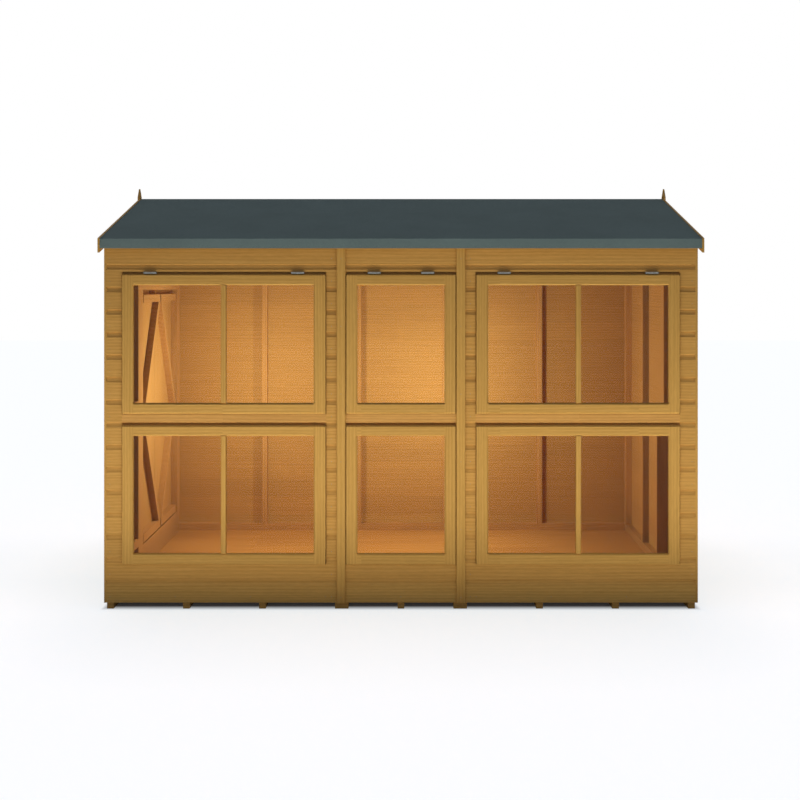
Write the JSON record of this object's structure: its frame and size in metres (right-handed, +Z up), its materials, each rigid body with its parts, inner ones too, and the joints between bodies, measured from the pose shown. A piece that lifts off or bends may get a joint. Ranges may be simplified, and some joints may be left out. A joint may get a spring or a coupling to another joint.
{
  "type": "potting shed",
  "caption": "Timber potting shed with a glazed front, top-hung opening sashes, an apex felt roof and double doors in the gable end.",
  "frame": {"origin": "on the ground under the middle of the floor", "axes": "+X along the ridge to the right of the glazed front, +Y from the front to the back, +Z up"},
  "size_m": [3.06, 1.896, 2.1965],
  "materials": {
    "cladding_timber": "golden dip-treated sawn softwood shiplap",
    "joinery_timber": "golden dip-treated planed softwood",
    "framing_timber": "warm planed softwood",
    "floor_timber": "warm boarded softwood",
    "roof_deck_timber": "plain roof board",
    "roofing_felt": "mineral surfaced blue grey roofing felt",
    "window_glass": "clear glazing",
    "zinc_steel": "bright zinc plated pressed steel",
    "button_timber": "golden dip-treated softwood"
  },
  "bodies": {
    "shed": {"back_frame": "framing_timber", "back_shiplap": "cladding_timber", "bargeboard_left_back": "cladding_timber", "bargeboard_left_front": "cladding_timber", "bargeboard_right_back": "cladding_timber", "bargeboard_right_front": "cladding_timber", "corner_trims": "cladding_timber", "cover_strips": "cladding_timber", "door_hinge_pins": "zinc_steel", "door_hinge_plates": "zinc_steel", "door_side_boards": "cladding_timber", "finials": "cladding_timber", "floor_bearers": "floor_timber", "floor_panel_centre": "floor_timber", "floor_panel_left": "floor_timber", "floor_panel_right": "floor_timber", "front_frame_centre": "framing_timber", "front_frame_left": "framing_timber", "front_frame_right": "framing_timber", "front_shiplap": "cladding_timber", "left_gable_frame": "framing_timber", "left_gable_shiplap": "cladding_timber", "lower_window_centre": "joinery_timber", "lower_window_gable": "joinery_timber", "lower_window_left": "joinery_timber", "lower_window_panes": "window_glass", "lower_window_right": "joinery_timber", "right_gable_frame": "framing_timber", "right_gable_shiplap": "cladding_timber", "roof_deck_back": "roof_deck_timber", "roof_deck_front": "roof_deck_timber", "roof_felt_back": "roofing_felt", "roof_felt_front": "roofing_felt", "roof_trusses": "framing_timber", "sash_hinge_pins": "zinc_steel", "sash_hinge_plates": "zinc_steel", "stay_pegs": "zinc_steel"},
    "sash_left": {"sash_frame_left": "joinery_timber", "sash_panes_left": "window_glass", "sash_fittings_left": "zinc_steel"},
    "stay_left": {"stay_arm_left": "zinc_steel"},
    "sash_centre": {"sash_frame_centre": "joinery_timber", "sash_panes_centre": "window_glass", "sash_fittings_centre": "zinc_steel"},
    "stay_centre": {"stay_arm_centre": "zinc_steel"},
    "sash_right": {"sash_frame_right": "joinery_timber", "sash_panes_right": "window_glass", "sash_fittings_right": "zinc_steel"},
    "stay_right": {"stay_arm_right": "zinc_steel"},
    "sash_gable": {"sash_frame_gable": "joinery_timber", "sash_panes_gable": "window_glass", "sash_fittings_gable": "zinc_steel"},
    "stay_gable": {"stay_arm_gable": "zinc_steel"},
    "door_front": {"door_front_boards": "cladding_timber", "door_front_bracing": "framing_timber", "door_front_fittings": "zinc_steel"},
    "door_back": {"door_back_boards": "cladding_timber", "door_back_bracing": "framing_timber", "door_back_fittings": "zinc_steel"},
    "button": {"turn_button": "button_timber"}
  },
  "joints": [
    {"name": "sash_left_hinge", "type": "hinge", "parent": "shed", "child": "sash_left", "pos_m": [-0.8935, -0.9055, 1.6995], "axis": [-1, 0, 0], "range_deg": [0, 45]},
    {"name": "stay_left_swing", "type": "hinge", "parent": "sash_left", "child": "stay_left", "pos_m": [-0.9935, -0.8737, 1.015], "axis": [0, 0, 1], "range_deg": [0, 90]},
    {"name": "sash_centre_hinge", "type": "hinge", "parent": "shed", "child": "sash_centre", "pos_m": [0, -0.9055, 1.6995], "axis": [-1, 0, 0], "range_deg": [0, 45]},
    {"name": "stay_centre_swing", "type": "hinge", "parent": "sash_centre", "child": "stay_centre", "pos_m": [-0.1, -0.8737, 1.015], "axis": [0, 0, 1], "range_deg": [0, 90]},
    {"name": "sash_right_hinge", "type": "hinge", "parent": "shed", "child": "sash_right", "pos_m": [0.8935, -0.9055, 1.6995], "axis": [-1, 0, 0], "range_deg": [0, 45]},
    {"name": "stay_right_swing", "type": "hinge", "parent": "sash_right", "child": "stay_right", "pos_m": [0.7935, -0.8737, 1.015], "axis": [0, 0, 1], "range_deg": [0, 90]},
    {"name": "sash_gable_hinge", "type": "hinge", "parent": "shed", "child": "sash_gable", "pos_m": [-1.5105, -0.58875, 1.6995], "axis": [0, 1, 0], "range_deg": [0, 45]},
    {"name": "stay_gable_swing", "type": "hinge", "parent": "sash_gable", "child": "stay_gable", "pos_m": [-1.4787, -0.48875, 1.015], "axis": [0, 0, 1], "range_deg": [0, 90]},
    {"name": "door_front_hinge", "type": "hinge", "parent": "shed", "child": "door_front", "pos_m": [-1.505, -0.2405, 0.8869], "axis": [0, 0, 1], "range_deg": [0, 100]},
    {"name": "door_back_hinge", "type": "hinge", "parent": "shed", "child": "door_back", "pos_m": [-1.505, 0.7755, 0.8869], "axis": [0, 0, -1], "range_deg": [0, 100]},
    {"name": "turn_button_turn", "type": "hinge", "parent": "door_front", "child": "button", "pos_m": [-1.506, 0.2355, 0.8799], "axis": [1, 0, 0], "range_deg": [0, 90]}
  ]
}
